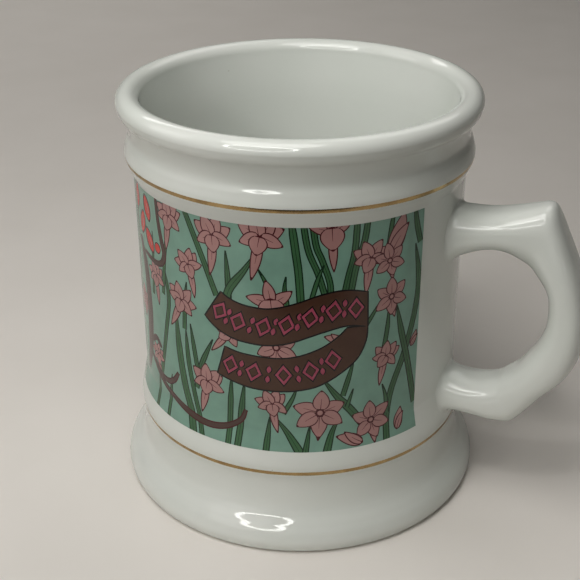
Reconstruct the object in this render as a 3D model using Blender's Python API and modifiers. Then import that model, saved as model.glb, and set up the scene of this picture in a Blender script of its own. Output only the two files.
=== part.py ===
"""Porcelain mug with a rolled rim, a flared foot, a spurred handle, two gold lines and a wrap-around print.

The mug stands on z = 0 and its handle points along +X. The origin is under the middle of the whole
outline, so the mug's own axis lies a little towards -X. Lengths are in metres.
"""

import math

import bmesh
import bpy
from mathutils import Vector

MM = 0.001

# Body: one wall radius and one height drive it. What stands proud of the wall is given from the wall.
HEIGHT = 97.0 * MM
WALL_R = 38.0 * MM
WALL_THICKNESS = 3.6 * MM
RIM_OUT = 3.0 * MM
RIM_ROLL_R = 2.65 * MM
GROOVE_OUT = 0.5 * MM
BULGE_OUT = 1.75 * MM
CREST_OUT = 1.65 * MM
COVE_OUT = 1.2 * MM
FOOT_OUT = 6.1 * MM

# Heights measured down from the top
RIM_TAIL_DROP = 5.9 * MM
GROOVE_DROP = 9.3 * MM
BULGE_DROP = 14.0 * MM
STEP_DROP = 18.6 * MM

# Heights measured up from the table
FLARE_Z = 29.0 * MM
CREST_Z = 20.5 * MM
COVE_Z = 16.5 * MM
COVE_BASE_Z = 13.2 * MM
FOOT_WIDEST_Z = 2.6 * MM
FLOOR_Z = 9.0 * MM
FLOOR_CORNER_R = 9.0 * MM
RECESS_Z = 3.0 * MM
FOOT_RING_INSET = 1.4 * MM
FOOT_RING_WIDTH = 5.0 * MM

# Shares that place the profile's in-between points: how far out, and for a pair also how far up or down
RIM_UNDERCUT = (0.85, 0.6)
RIM_TAIL_OUT = 0.45
BULGE_TOP_OUT = 0.7
BULGE_END_OUT = 0.6
FOOT_SWEEP = ((0.03, 1.0), (0.13, 0.73), (0.33, 0.545), (0.62, 0.37), (0.87, 0.2), (1.0, 0.0))
FOOT_TUCK = (0.25, 0.3)
MOUTH_FLARE = 0.3
RECESS_CHAMFER = 0.3

# Gold lines: where their middle is, and the drawn line itself
UPPER_GOLD_DROP = 14.5 * MM
LOWER_GOLD_Z = 19.0 * MM
GOLD_WIDTH = 1.0 * MM
GOLD_THICKNESS = 0.25 * MM

# Print: a sheet that wraps the wall and leaves a window at the handle
PRINT_TOP_DROP = 18.6 * MM
PRINT_BOTTOM_Z = 24.5 * MM
PRINT_WINDOW_HALF_ANGLE = math.radians(24.5)
PRINT_THICKNESS = 0.25 * MM

# Handle
HANDLE_REACH = 30.7 * MM
HANDLE_BREADTH = 12.8 * MM
UPPER_ROOT_DROP = 30.0 * MM
LOWER_ROOT_Z = 26.8 * MM
ROOT_DEPTH = 12.9 * MM
ARM_DEPTH = 8.6 * MM
BOW_DEPTH = 9.1 * MM
UPPER_SPUR_DEPTH = 15.3 * MM
LOWER_SPUR_DEPTH = 11.8 * MM
SECTION_SQUARENESS = 2.6

# Slip joints between the handle's ends and the wall
SLIP_THICKNESS = 0.6 * MM
SLIP_MARGIN = 0.5 * MM
SLIP_PLUG_SHARE = 0.15

# Clearance between neighbouring pieces
GAP = 0.3 * MM

# How finely the round shapes are drawn
SEGMENTS = 64
CURVE_STEPS = 3
FLOOR_CORNER_STEPS = 6
RIM_ROLL_STEPS = 8
SECTION_POINTS = 24
PRINT_STEPS = 8
GOLD_STEPS = 2
SEAT_STEPS = 24
MERGE_DISTANCE = 0.01 * MM
SHARP_ANGLE = math.radians(40)


def soft_curve(points, steps=CURVE_STEPS):
    """Points of a smooth curve that passes through every given point (Catmull-Rom)."""
    knots = [Vector(p) for p in points]
    knots = [2 * knots[0] - knots[1]] + knots + [2 * knots[-1] - knots[-2]]
    curve = []
    for before, start, end, after in zip(knots, knots[1:], knots[2:], knots[3:]):
        for step in range(steps):
            t = step / steps
            curve.append(
                0.5
                * (
                    2 * start
                    + (end - before) * t
                    + (2 * before - 5 * start + 4 * end - after) * t**2
                    + (3 * start - before - 3 * end + after) * t**3
                )
            )
    return curve + [knots[-2]]


def arc(centre, radius, start, end, steps):
    """Points of an arc in the (radius, height) plane. Angles are in degrees from outwards, up positive."""
    angles = [math.radians(start + (end - start) * step / steps) for step in range(steps + 1)]
    return [
        Vector((centre[0] + radius * math.cos(angle), centre[1] + radius * math.sin(angle)))
        for angle in angles
    ]


def outer_profile():
    """The body's outer side as (radius, height), from the rim's widest point down to the foot ring."""
    rim_z = HEIGHT - RIM_ROLL_R
    under_rim = soft_curve(
        [
            (WALL_R + RIM_OUT, rim_z),
            (WALL_R + RIM_UNDERCUT[0] * RIM_OUT, rim_z - RIM_UNDERCUT[1] * RIM_ROLL_R),
            (WALL_R + RIM_TAIL_OUT * RIM_OUT, HEIGHT - RIM_TAIL_DROP),
            (WALL_R + GROOVE_OUT, HEIGHT - GROOVE_DROP),
            (WALL_R + BULGE_TOP_OUT * BULGE_OUT, HEIGHT - 0.5 * (GROOVE_DROP + BULGE_DROP)),
            (WALL_R + BULGE_OUT, HEIGHT - BULGE_DROP),
            (WALL_R + BULGE_END_OUT * BULGE_OUT, HEIGHT - 0.5 * (BULGE_DROP + STEP_DROP)),
            (WALL_R, HEIGHT - STEP_DROP),
        ]
    )
    cove_r = WALL_R + COVE_OUT
    foot_step = FOOT_OUT - COVE_OUT
    foot_rise = COVE_BASE_Z - FOOT_WIDEST_Z
    sweep = [(cove_r + out * foot_step, FOOT_WIDEST_Z + up * foot_rise) for out, up in FOOT_SWEEP]
    above_foot = soft_curve(
        [
            (WALL_R, FLARE_Z),
            (WALL_R + 0.5 * CREST_OUT, 0.5 * (FLARE_Z + CREST_Z)),
            (WALL_R + CREST_OUT, CREST_Z),
            (cove_r, COVE_Z),
            *sweep,
            (WALL_R + FOOT_OUT - FOOT_TUCK[0] * FOOT_RING_INSET, FOOT_TUCK[1] * FOOT_WIDEST_Z),
            (WALL_R + FOOT_OUT - FOOT_RING_INSET, 0.0),
        ]
    )
    return under_rim + above_foot


def radius_at(height):
    """The body's outer radius at a height."""
    profile = outer_profile()
    for upper, lower in zip(profile, profile[1:]):
        if lower.y <= height <= upper.y:
            share = (upper.y - height) / (upper.y - lower.y)
            return upper.x + (lower.x - upper.x) * share
    raise ValueError("the height is off the body's side")


def side_points(top, bottom, offset, steps):
    """Points down the body's side, at an offset from it."""
    heights = [top + (bottom - top) * step / steps for step in range(steps + 1)]
    return [Vector((radius_at(z) + offset, z)) for z in heights]


def surface_band(top, bottom, inner_offset, outer_offset, steps):
    """A closed outline that follows the body's side between two offsets from it."""
    outer = side_points(top, bottom, outer_offset, steps)
    inner = side_points(top, bottom, inner_offset, steps)
    return outer + inner[::-1]


def make_material(name, colour, roughness, metallic=0.0):
    material = bpy.data.materials.new(name)
    material.use_nodes = True
    shader = material.node_tree.nodes["Principled BSDF"]
    shader.inputs["Base Color"].default_value = (*colour, 1.0)
    shader.inputs["Roughness"].default_value = roughness
    shader.inputs["Metallic"].default_value = metallic
    return material


def add_object(name, mesh, collection, parent=None, material=None):
    """Links an object to its collection, at its parent's place, with its material."""
    piece = bpy.data.objects.new(name, mesh)
    collection.objects.link(piece)
    piece.parent = parent
    if material:
        mesh.materials.append(material)
    return piece


def hide_as_cutter(piece):
    piece.hide_render = True
    piece.display_type = "WIRE"
    return piece


def turned(name, outline, closed, collection, parent, material=None):
    """A turned piece: an outline in the XZ plane with a Screw modifier about Z."""
    mesh = bpy.data.meshes.new(name)
    count = len(outline)
    edges = [(i, i + 1) for i in range(count - 1)]
    if closed:
        edges.append((count - 1, 0))
    mesh.from_pydata([(p.x, 0.0, p.y) for p in outline], edges, [])
    piece = add_object(name, mesh, collection, parent, material)
    screw = piece.modifiers.new("turn", "SCREW")
    screw.axis = "Z"
    screw.angle = 2 * math.pi
    screw.steps = SEGMENTS
    screw.render_steps = SEGMENTS
    screw.use_merge_vertices = True
    screw.merge_threshold = MERGE_DISTANCE
    screw.use_smooth_shade = True
    return piece


def body_outline():
    """The whole half section: inside floor, inner wall, rolled rim, outer side, foot ring, underside."""
    inner_r = WALL_R - WALL_THICKNESS
    rim_centre = (WALL_R + RIM_OUT - RIM_ROLL_R, HEIGHT - RIM_ROLL_R)
    mouth_r = rim_centre[0] - RIM_ROLL_R
    corner = (inner_r - FLOOR_CORNER_R, FLOOR_Z + FLOOR_CORNER_R)
    inside = [Vector((0.0, FLOOR_Z))] + arc(corner, FLOOR_CORNER_R, -90, 0, FLOOR_CORNER_STEPS)
    mouth = soft_curve(
        [
            (inner_r, HEIGHT - BULGE_DROP),
            (inner_r + MOUTH_FLARE * (mouth_r - inner_r), HEIGHT - GROOVE_DROP),
            (mouth_r, rim_centre[1]),
        ]
    )
    roll = arc(rim_centre, RIM_ROLL_R, 180, 0, RIM_ROLL_STEPS)
    ring_inner_r = WALL_R + FOOT_OUT - FOOT_RING_INSET - FOOT_RING_WIDTH
    underside = [
        Vector((ring_inner_r, 0.0)),
        Vector((ring_inner_r - RECESS_CHAMFER * RECESS_Z, RECESS_CHAMFER * RECESS_Z)),
        Vector((ring_inner_r - RECESS_Z, RECESS_Z)),
        Vector((0.0, RECESS_Z)),
    ]
    return inside + mouth + roll[1:-1] + outer_profile() + underside


def handle_stations():
    """Sections along the handle: (centre out, centre height, depth, tilt in degrees, breadth).

    Centre out is a share of the reach, measured from the wall, and breadth is a share of the handle's.
    Tilt is the angle from straight up of the line from a section's inner edge to its outer edge.
    Three runs meet at the two spurs: the upper arm, the bow and the lower arm.
    """
    upper = HEIGHT - UPPER_ROOT_DROP
    lower = LOWER_ROOT_Z
    span = upper - lower
    upper_spur = (0.622, upper + 2.9 * MM, UPPER_SPUR_DEPTH, 12.9, 0.93)
    lower_spur = (0.477, lower + 0.9 * MM, LOWER_SPUR_DEPTH, 159.0, 0.95)
    upper_arm = [
        (-0.05, upper, ROOT_DEPTH, 0.0, 1.08),
        (0.065, upper + 1.0 * MM, 0.5 * (ROOT_DEPTH + ARM_DEPTH), 0.0, 1.0),
        (0.228, upper + 2.2 * MM, ARM_DEPTH, 0.0, 1.0),
        (0.407, upper + 3.0 * MM, 1.13 * ARM_DEPTH, 5.9, 1.0),
        upper_spur,
    ]
    bow = [
        upper_spur,
        (0.765, lower + 0.88 * span, 1.15 * BOW_DEPTH, 26.0, 1.0),
        (0.831, lower + 0.735 * span, BOW_DEPTH, 50.0, 1.0),
        (0.857, lower + 0.57 * span, BOW_DEPTH, 75.0, 1.0),
        (0.827, lower + 0.415 * span, 1.06 * BOW_DEPTH, 97.0, 1.0),
        (0.75, lower + 0.28 * span, 1.1 * BOW_DEPTH, 110.0, 1.0),
        (0.625, lower + 0.155 * span, BOW_DEPTH, 130.0, 1.0),
        lower_spur,
    ]
    lower_arm = [
        lower_spur,
        (0.35, lower, 1.17 * ARM_DEPTH, 166.0, 1.0),
        (0.187, lower - 0.1 * MM, ARM_DEPTH, 177.0, 1.0),
        (0.065, lower, 1.05 * ARM_DEPTH, 180.0, 1.0),
        (-0.05, lower, 0.82 * ROOT_DEPTH, 180.0, 1.08),
    ]
    stations = []
    for run in (upper_arm, bow, lower_arm):
        stations += soft_curve(run)[: None if run is lower_arm else -1]
    return stations


def section(station, margin=0.0):
    """One squared-off oval ring of the handle."""
    share_out, height, depth, tilt, breadth = station
    centre = Vector((WALL_R + share_out * HANDLE_REACH, 0.0, height))
    tilt = math.radians(tilt)
    outwards = Vector((math.sin(tilt), 0.0, math.cos(tilt))) * (0.5 * depth + margin)
    sideways = Vector((0.0, 1.0, 0.0)) * (0.5 * breadth * HANDLE_BREADTH + margin)
    power = 2 / SECTION_SQUARENESS
    ring = []
    for index in range(SECTION_POINTS):
        angle = 2 * math.pi * index / SECTION_POINTS
        along = math.copysign(abs(math.cos(angle)) ** power, math.cos(angle))
        across = math.copysign(abs(math.sin(angle)) ** power, math.sin(angle))
        ring.append(centre + outwards * along + sideways * across)
    return ring


def loft(name, rings, collection, parent, material=None):
    """A closed body through rings of equal count, capped at both ends."""
    shape = bmesh.new()
    loops = [[shape.verts.new(point) for point in ring] for ring in rings]
    for near, far in zip(loops, loops[1:]):
        for index in range(len(near)):
            after = (index + 1) % len(near)
            shape.faces.new((near[index], near[after], far[after], far[index]))
    shape.faces.new(list(reversed(loops[0])))
    shape.faces.new(loops[-1])
    bmesh.ops.recalc_face_normals(shape, faces=shape.faces)
    mesh = bpy.data.meshes.new(name)
    shape.to_mesh(mesh)
    shape.free()
    mesh.shade_smooth()
    mesh.set_sharp_from_angle(angle=SHARP_ANGLE)
    return add_object(name, mesh, collection, parent, material)


def cut(piece, cutter, operation):
    boolean = piece.modifiers.new(operation.lower(), "BOOLEAN")
    boolean.operation = operation
    boolean.solver = "EXACT"
    boolean.object = cutter


def wall_cutter(name, offset, collection, parent):
    """A solid that fills the body out to an offset from its side, for seating what meets the wall."""
    top = HEIGHT - BULGE_DROP
    bottom = COVE_Z
    side = side_points(top, bottom, offset, SEAT_STEPS)
    outline = [Vector((0.0, top)), *side, Vector((0.0, bottom))]
    return hide_as_cutter(turned(name, outline, False, collection, parent))


def print_window(collection, parent):
    """A wedge that keeps the print clear of the handle."""
    reach = WALL_R + FOOT_OUT
    half_width = reach * math.tan(PRINT_WINDOW_HALF_ANGLE)
    corners = [(0.0, 0.0), (reach, -half_width), (reach, half_width)]
    shape = bmesh.new()
    loops = [[shape.verts.new((x, y, z)) for x, y in corners] for z in (0.0, HEIGHT)]
    shape.faces.new(list(reversed(loops[0])))
    shape.faces.new(loops[1])
    for index in range(len(corners)):
        after = (index + 1) % len(corners)
        shape.faces.new((loops[0][index], loops[0][after], loops[1][after], loops[1][index]))
    bmesh.ops.recalc_face_normals(shape, faces=shape.faces)
    mesh = bpy.data.meshes.new("print_window")
    shape.to_mesh(mesh)
    shape.free()
    return hide_as_cutter(add_object("print_window", mesh, collection, parent))


def build():
    for leftover in list(bpy.data.objects):
        bpy.data.objects.remove(leftover)
    parts = bpy.data.collections.new("ceramic_mug")
    cutters = bpy.data.collections.new("cutters")
    for collection in (parts, cutters):
        bpy.context.scene.collection.children.link(collection)

    porcelain = make_material("glazed porcelain body", (0.84, 0.85, 0.81), 0.08)
    handle_glaze = make_material("glazed porcelain handle", (0.86, 0.86, 0.82), 0.08)
    slip = make_material("slip", (0.80, 0.79, 0.75), 0.35)
    gold = make_material("burnished gold", (0.72, 0.52, 0.22), 0.2, 1.0)
    print_enamel = make_material("printed enamel", (0.36, 0.50, 0.43), 0.15)

    # The handle is lofted first, because its reach sets where the mug's axis stands.
    rings = [section(station) for station in handle_stations()]
    handle_tip = max(point.x for ring in rings for point in ring)
    body_r = max(point.x for point in outer_profile())
    mug_axis = bpy.data.objects.new("mug_axis", None)
    mug_axis.location = (0.5 * (body_r - handle_tip), 0.0, 0.0)
    parts.objects.link(mug_axis)

    turned("mug_body", body_outline(), False, parts, mug_axis, porcelain)

    # Gold lines sit on the body's side.
    for name, middle in (
        ("upper_gold_line", HEIGHT - UPPER_GOLD_DROP),
        ("lower_gold_line", LOWER_GOLD_Z),
    ):
        band = surface_band(
            middle + 0.5 * GOLD_WIDTH, middle - 0.5 * GOLD_WIDTH, GAP, GAP + GOLD_THICKNESS, GOLD_STEPS
        )
        turned(name, band, True, parts, mug_axis, gold)

    # The print follows the wall all round, and the window is taken out at the handle.
    band = surface_band(
        HEIGHT - PRINT_TOP_DROP, PRINT_BOTTOM_Z, GAP, GAP + PRINT_THICKNESS, PRINT_STEPS
    )
    print_transfer = turned("print_transfer", band, True, parts, mug_axis, print_enamel)
    cut(print_transfer, print_window(cutters, mug_axis), "DIFFERENCE")

    # The handle's ends are seated on the wall, with the slip between.
    handle = loft("handle", rings, parts, mug_axis, handle_glaze)
    seat_offset = GAP + SLIP_THICKNESS + GAP
    cut(handle, wall_cutter("handle_seat", seat_offset, cutters, mug_axis), "DIFFERENCE")
    slip_back = wall_cutter("slip_back", GAP, cutters, mug_axis)
    slip_front = wall_cutter("slip_front", GAP + SLIP_THICKNESS, cutters, mug_axis)
    stations = handle_stations()
    for name, root in (("upper_slip_joint", stations[0]), ("lower_slip_joint", stations[-1])):
        tip = (SLIP_PLUG_SHARE, *root[1:])
        ends = [section(root, SLIP_MARGIN), section(tip, SLIP_MARGIN)]
        plug = loft(name, ends, parts, mug_axis, slip)
        cut(plug, slip_front, "INTERSECT")
        cut(plug, slip_back, "DIFFERENCE")


build()
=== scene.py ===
import math
import random

import bpy
import numpy as np
from mathutils import Matrix, Vector
from mathutils.geometry import delaunay_2d_cdt


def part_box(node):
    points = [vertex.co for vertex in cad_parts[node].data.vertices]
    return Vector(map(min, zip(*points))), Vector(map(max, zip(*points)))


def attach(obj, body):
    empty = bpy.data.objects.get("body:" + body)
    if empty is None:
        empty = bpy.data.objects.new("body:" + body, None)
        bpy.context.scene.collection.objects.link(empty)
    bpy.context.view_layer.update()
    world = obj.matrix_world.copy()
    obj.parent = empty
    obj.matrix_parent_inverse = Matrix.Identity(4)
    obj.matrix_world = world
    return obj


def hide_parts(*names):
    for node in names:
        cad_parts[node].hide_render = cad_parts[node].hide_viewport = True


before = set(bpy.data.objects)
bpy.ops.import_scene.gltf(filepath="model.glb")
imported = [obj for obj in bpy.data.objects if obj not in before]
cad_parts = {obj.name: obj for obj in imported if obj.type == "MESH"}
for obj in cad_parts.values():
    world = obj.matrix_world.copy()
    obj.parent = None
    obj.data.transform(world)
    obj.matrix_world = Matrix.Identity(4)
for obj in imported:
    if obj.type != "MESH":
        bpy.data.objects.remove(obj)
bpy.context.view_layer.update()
print("frame loaded:", len(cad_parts), "nodes")

# Every shape below is worked out in millimetres from the mug's own axis, with z up from the table.
mm = 0.001
bodyLow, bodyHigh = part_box("mug_body")
axisX = 0.5 * (bodyLow.x + bodyHigh.x)
footR = 0.5 * (bodyHigh.x - bodyLow.x) / mm
mugTop = bodyHigh.z / mm

bodyShape = {
    "wallThickness": 3.6,
    "rimOut": 3.0,  # outs are measured from the straight wall
    "rimRollR": 2.65,
    "grooveOut": 0.5,
    "bulgeOut": 1.75,
    "crestOut": 1.65,
    "coveOut": 1.2,
    "footOut": 6.1,
    "rimTailDrop": 5.9,  # drops are measured down from the top
    "grooveDrop": 9.3,
    "bulgeDrop": 14.0,
    "stepDrop": 18.6,
    "flareZ": 29.0,  # heights are measured up from the table
    "crestZ": 20.5,
    "coveZ": 16.5,
    "coveBaseZ": 13.2,
    "widestZ": 2.6,
    # the foot's sweep from the cove to its widest, as shares of its step out and of its rise
    "footSweep": [(0.03, 1.0), (0.13, 0.73), (0.33, 0.545), (0.62, 0.37), (0.87, 0.2), (1.0, 0.0)],
    "floorZ": 9.0,
    "floorCornerR": 9.0,
    "recessZ": 3.0,
    "ringInset": 1.4,
    "ringWidth": 5.0,
    "aroundSteps": 288,
    "curveSteps": 10,
    "sharpDegrees": 38,  # corners above this stay crisp
}
wallR = footR - bodyShape["footOut"]


def softCurve(points, steps):
    # a smooth curve through every given point (Catmull-Rom); the points are rows, or complex numbers
    knots = np.array(points)
    knots = np.concatenate([[2 * knots[0] - knots[1]], knots, [2 * knots[-1] - knots[-2]]])
    curve = []
    for before, start, end, after in zip(knots, knots[1:], knots[2:], knots[3:]):
        for step in range(steps):
            t = step / steps
            curve.append(
                0.5
                * (
                    2 * start
                    + (end - before) * t
                    + (2 * before - 5 * start + 4 * end - after) * t**2
                    + (3 * start - before - 3 * end + after) * t**3
                )
            )
    return np.array(curve + [knots[-2]])


def arcPoints(centre, radius, start, end, steps):
    angles = np.radians(np.linspace(start, end, steps + 1))
    return np.column_stack([centre[0] + radius * np.cos(angles), centre[1] + radius * np.sin(angles)])


def outerSide():
    # (radius, height) from the rim's widest point down to the foot ring
    s = bodyShape
    rimZ = mugTop - s["rimRollR"]
    footStep = s["footOut"] - s["coveOut"]
    footRise = s["coveBaseZ"] - s["widestZ"]
    sweep = []
    for out, up in s["footSweep"]:
        sweep.append((wallR + s["coveOut"] + out * footStep, s["widestZ"] + up * footRise))
    underRim = [
        (wallR + s["rimOut"], rimZ),
        (wallR + 0.85 * s["rimOut"], rimZ - 0.6 * s["rimRollR"]),
        (wallR + 0.45 * s["rimOut"], mugTop - s["rimTailDrop"]),
        (wallR + s["grooveOut"], mugTop - s["grooveDrop"]),
        (wallR + 0.7 * s["bulgeOut"], mugTop - 0.5 * (s["grooveDrop"] + s["bulgeDrop"])),
        (wallR + s["bulgeOut"], mugTop - s["bulgeDrop"]),
        (wallR + 0.6 * s["bulgeOut"], mugTop - 0.5 * (s["bulgeDrop"] + s["stepDrop"])),
        (wallR, mugTop - s["stepDrop"]),
    ]
    aboveFoot = [
        (wallR, s["flareZ"]),
        (wallR + 0.5 * s["crestOut"], 0.5 * (s["flareZ"] + s["crestZ"])),
        (wallR + s["crestOut"], s["crestZ"]),
        (wallR + s["coveOut"], s["coveZ"]),
        *sweep,
        (wallR + s["footOut"] - 0.25 * s["ringInset"], 0.3 * s["widestZ"]),
        (wallR + s["footOut"] - s["ringInset"], 0.0),
    ]
    return np.concatenate([softCurve(underRim, s["curveSteps"]), softCurve(aboveFoot, s["curveSteps"])])


sideLine = outerSide()


def sideRadius(z):
    return np.interp(z, sideLine[::-1, 1], sideLine[::-1, 0])


def sideNormal(angle, z):
    # the way straight out of the glaze at a place on the outer side
    slope = (sideRadius(z + 0.05) - sideRadius(z - 0.05)) / 0.1
    size = np.sqrt(1 + slope**2)
    return np.column_stack([np.cos(angle) / size, np.sin(angle) / size, -slope / size])


def aroundPoints(angle, radius, z):
    return np.column_stack([radius * np.cos(angle), radius * np.sin(angle), z + 0 * angle])


def tubeFaces(rings, count, start=0):
    # four-sided faces between each ring of points and the next
    faces = []
    for row in range(rings - 1):
        low, high = start + row * count, start + (row + 1) * count
        for k in range(count):
            after = (k + 1) % count
            faces.append((low + k, high + k, high + after, low + after))
    return faces


def addPiece(name, points, faces, finishes, standsFor, normals=None, finishOfFace=None):
    mesh = bpy.data.meshes.new(name)
    rows = np.array(points) * mm + (axisX, 0.0, 0.0)
    mesh.from_pydata(rows.tolist(), [], faces)
    for finish in finishes:
        mesh.materials.append(finish)
    if finishOfFace is not None:
        mesh.polygons.foreach_set("material_index", finishOfFace)
    mesh.shade_smooth()
    if normals is not None:
        mesh.normals_split_custom_set_from_vertices(normals)
    piece = bpy.data.objects.new(name, mesh)
    bpy.context.scene.collection.objects.link(piece)
    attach(piece, "root")
    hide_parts(standsFor)
    return piece


def addNode(tree, kind, settings=None, inputs=None):
    # an input is a value, or another node's output to link
    node = tree.nodes.new(kind)
    for name, value in (settings or {}).items():
        setattr(node, name, value)
    for name, value in (inputs or {}).items():
        if isinstance(value, bpy.types.NodeSocket):
            tree.links.new(value, node.inputs[name])
        else:
            node.inputs[name].default_value = value
    return node


def linear(hexCode):
    channels = [int(hexCode[i : i + 2], 16) / 255 for i in (1, 3, 5)]
    return tuple(c / 12.92 if c <= 0.04045 else ((c + 0.055) / 1.055) ** 2.4 for c in channels) + (1.0,)


def startMaterial(name):
    material = bpy.data.materials.new(name)
    material.use_nodes = True
    tree = material.node_tree
    shader = tree.nodes["Principled BSDF"]
    place = addNode(tree, "ShaderNodeTexCoord").outputs["Object"]
    return material, tree, shader, place


def perMetre(spacing):
    # a pattern's Scale for a spacing in millimetres
    return 1 / (spacing * mm)


glaze = {
    "white": "#dcdeda",  # clear glaze over white porcelain, a little cool
    "pooled": "#d3d8d2",  # where the glaze lies thicker it turns faintly green
    "speck": "#7d6f5c",  # iron specks from the kiln
    "poolSpacing": 26.0,  # mm
    "rippleSpacing": 14.0,
    "rippleDepth": 0.03,
    "peelSpacing": 1.8,  # real glaze peel is finer than this, drawn coarse enough to show
    "peelDepth": 0.0008,
    "speckSpacing": 8.0,
    "speckR": 0.14,
    "roughness": 0.05,
    "ior": 1.5,
}


def glazedPorcelain(name):
    # glazed porcelain: dense white under a wet-looking coat, whose slow ripples bend the reflections
    material, tree, shader, place = startMaterial(name)
    pool = addNode(
        tree,
        "ShaderNodeTexNoise",
        inputs={"Vector": place, "Scale": perMetre(glaze["poolSpacing"]), "Detail": 1.0},
    )
    tone = addNode(
        tree,
        "ShaderNodeMixRGB",
        inputs={
            "Fac": pool.outputs["Fac"],
            "Color1": linear(glaze["white"]),
            "Color2": linear(glaze["pooled"]),
        },
    )
    # one cell in a few holds a speck: its distance is far smaller than the cell
    cells = addNode(
        tree, "ShaderNodeTexVoronoi", inputs={"Vector": place, "Scale": perMetre(glaze["speckSpacing"])}
    )
    near = addNode(
        tree,
        "ShaderNodeMapRange",
        inputs={
            "Value": cells.outputs["Distance"],
            "From Min": 0.5 * glaze["speckR"] / glaze["speckSpacing"],
            "From Max": glaze["speckR"] / glaze["speckSpacing"],
            "To Min": 0.75,
            "To Max": 0.0,
        },
    )
    specked = addNode(
        tree,
        "ShaderNodeMixRGB",
        inputs={
            "Fac": near.outputs["Result"],
            "Color1": tone.outputs["Color"],
            "Color2": linear(glaze["speck"]),
        },
    )
    ripple = addNode(
        tree,
        "ShaderNodeTexNoise",
        inputs={"Vector": place, "Scale": perMetre(glaze["rippleSpacing"]), "Detail": 0.0},
    )
    slow = addNode(
        tree,
        "ShaderNodeBump",
        inputs={"Strength": 1.0, "Distance": glaze["rippleDepth"] * mm, "Height": ripple.outputs["Fac"]},
    )
    peel = addNode(
        tree,
        "ShaderNodeTexNoise",
        inputs={"Vector": place, "Scale": perMetre(glaze["peelSpacing"]), "Detail": 1.0},
    )
    skin = addNode(
        tree,
        "ShaderNodeBump",
        inputs={
            "Strength": 1.0,
            "Distance": glaze["peelDepth"] * mm,
            "Height": peel.outputs["Fac"],
            "Normal": slow.outputs["Normal"],
        },
    )
    tree.links.new(specked.outputs["Color"], shader.inputs["Base Color"])
    tree.links.new(skin.outputs["Normal"], shader.inputs["Normal"])
    shader.inputs["Roughness"].default_value = glaze["roughness"]
    shader.inputs["IOR"].default_value = glaze["ior"]
    return material


bisque = {
    "light": "#e4dfd3",
    "dark": "#cfc6b6",
    "grain": 0.5,  # mm
    "grainDepth": 0.03,
    "roughness": 0.85,
    "ior": 1.5,
}


def biscuitPorcelain(name):
    # unglazed porcelain where the foot is wiped: chalky, warm, and dry to the light
    material, tree, shader, place = startMaterial(name)
    grain = addNode(
        tree,
        "ShaderNodeTexNoise",
        inputs={"Vector": place, "Scale": perMetre(bisque["grain"]), "Detail": 3.0},
    )
    tone = addNode(
        tree,
        "ShaderNodeMixRGB",
        inputs={
            "Fac": grain.outputs["Fac"],
            "Color1": linear(bisque["light"]),
            "Color2": linear(bisque["dark"]),
        },
    )
    rough = addNode(
        tree,
        "ShaderNodeBump",
        inputs={"Strength": 1.0, "Distance": bisque["grainDepth"] * mm, "Height": grain.outputs["Fac"]},
    )
    tree.links.new(tone.outputs["Color"], shader.inputs["Base Color"])
    tree.links.new(rough.outputs["Normal"], shader.inputs["Normal"])
    shader.inputs["Roughness"].default_value = bisque["roughness"]
    shader.inputs["IOR"].default_value = bisque["ior"]
    return material


goldFinish = {
    "bright": "#c9b182",  # liquid bright gold, fired on the glaze
    "thin": "#80694a",  # brushed thin, where it turns brown
    "patch": 3.0,
    "streak": 0.4,
    "streakStrength": 0.4,
    "streakDepth": 0.01,
    "smooth": 0.12,
    "worn": 0.34,
}


def brightGold(name):
    # fired gold lustre: a mirror-like metal that is browner and duller where the brush left it thin
    material, tree, shader, place = startMaterial(name)
    patch = addNode(
        tree,
        "ShaderNodeTexNoise",
        inputs={"Vector": place, "Scale": perMetre(goldFinish["patch"]), "Detail": 4.0},
    )
    tone = addNode(
        tree,
        "ShaderNodeMixRGB",
        inputs={
            "Fac": patch.outputs["Fac"],
            "Color1": linear(goldFinish["bright"]),
            "Color2": linear(goldFinish["thin"]),
        },
    )
    wear = addNode(
        tree,
        "ShaderNodeMapRange",
        inputs={"Value": patch.outputs["Fac"], "To Min": goldFinish["smooth"], "To Max": goldFinish["worn"]},
    )
    streak = addNode(
        tree,
        "ShaderNodeTexNoise",
        inputs={"Vector": place, "Scale": perMetre(goldFinish["streak"]), "Detail": 2.0},
    )
    brushed = addNode(
        tree,
        "ShaderNodeBump",
        inputs={
            "Strength": goldFinish["streakStrength"],
            "Distance": goldFinish["streakDepth"] * mm,
            "Height": streak.outputs["Fac"],
        },
    )
    tree.links.new(tone.outputs["Color"], shader.inputs["Base Color"])
    tree.links.new(wear.outputs["Result"], shader.inputs["Roughness"])
    tree.links.new(brushed.outputs["Normal"], shader.inputs["Normal"])
    shader.inputs["Metallic"].default_value = 1.0
    return material


enamel = {
    "mottle": 4.5,  # mm, the ink film's slow changes of thickness
    "mottleStrength": 0.16,
    "screen": 0.35,  # mm, the screen's mesh; the real one is finer, drawn coarse enough to show
    "screenDepth": 0.002,
    "roughness": 0.16,
    "ior": 1.5,
}
inks = {
    "ground": ("turquoiseEnamel", "#7ea092"),
    "leaf": ("leafGreenEnamel", "#456a4a"),
    "leafLine": ("darkGreenEnamel", "#1f3426"),
    "petal": ("rosePinkEnamel", "#a98380"),
    "petalLine": ("maroonEnamel", "#4f2227"),
    "ribbon": ("brownEnamel", "#50382c"),
    "blackLine": ("blackEnamel", "#171314"),
    "ornament": ("raspberryEnamel", "#9c4c60"),
    "scroll": ("mauveBrownEnamel", "#54423c"),
    "berry": ("redEnamel", "#c4473f"),
}


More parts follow.
